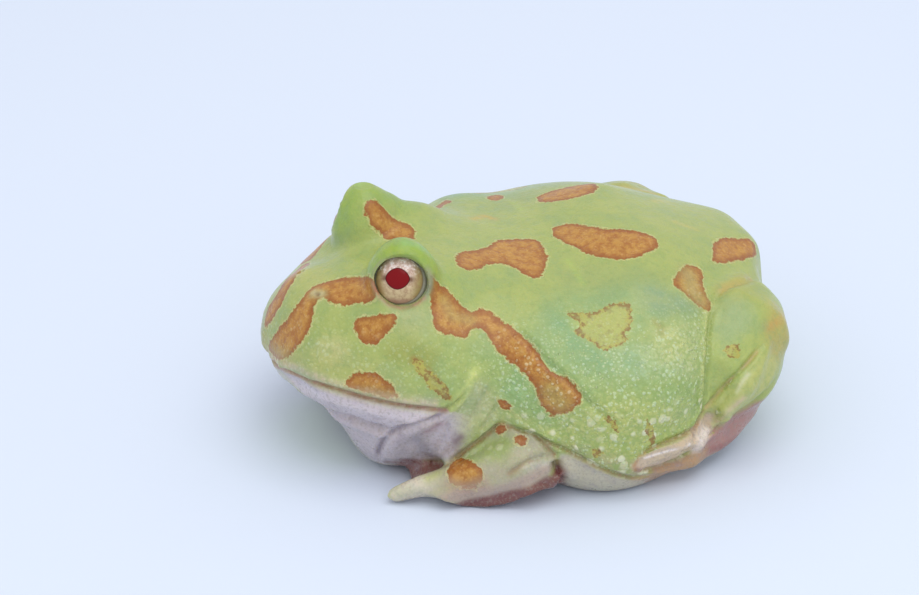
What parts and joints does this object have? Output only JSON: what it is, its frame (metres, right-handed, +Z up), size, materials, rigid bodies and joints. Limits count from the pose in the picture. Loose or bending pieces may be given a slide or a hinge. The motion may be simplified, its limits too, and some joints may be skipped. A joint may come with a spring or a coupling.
{
  "type": "argentine horned frog",
  "caption": "Life-size horned frog squatting with its belly on the floor, with a wide mouth, a short soft horn over each eye and folded legs.",
  "frame": {"origin": "on the floor, under the middle of the frog's bounding box", "axes": "+Z up; +Y towards the rump, so the snout points along -Y; +X to the frog's left"},
  "size_m": [0.0708, 0.0831, 0.037],
  "materials": {
    "skin_green": "moist green skin with fine grains and orange-brown blotches",
    "skin_pale": "moist pale lilac skin of the throat and belly",
    "eye": "clear glossy eye, pinkish-silver iris with a dark red pupil"
  },
  "bodies": {
    "root": {"head": "skin_green", "lower_jaw": "skin_pale", "torso": "skin_green", "eye_left": "eye", "horn_left": "skin_green", "upper_arm_left": "skin_green", "forearm_left": "skin_green", "hand_left": "skin_green", "thigh_left": "skin_green", "shank_left": "skin_green", "foot_left": "skin_green", "eye_right": "eye", "horn_right": "skin_green", "upper_arm_right": "skin_green", "forearm_right": "skin_green", "hand_right": "skin_green", "thigh_right": "skin_green", "shank_right": "skin_green", "foot_right": "skin_green"}
  },
  "joints": []
}
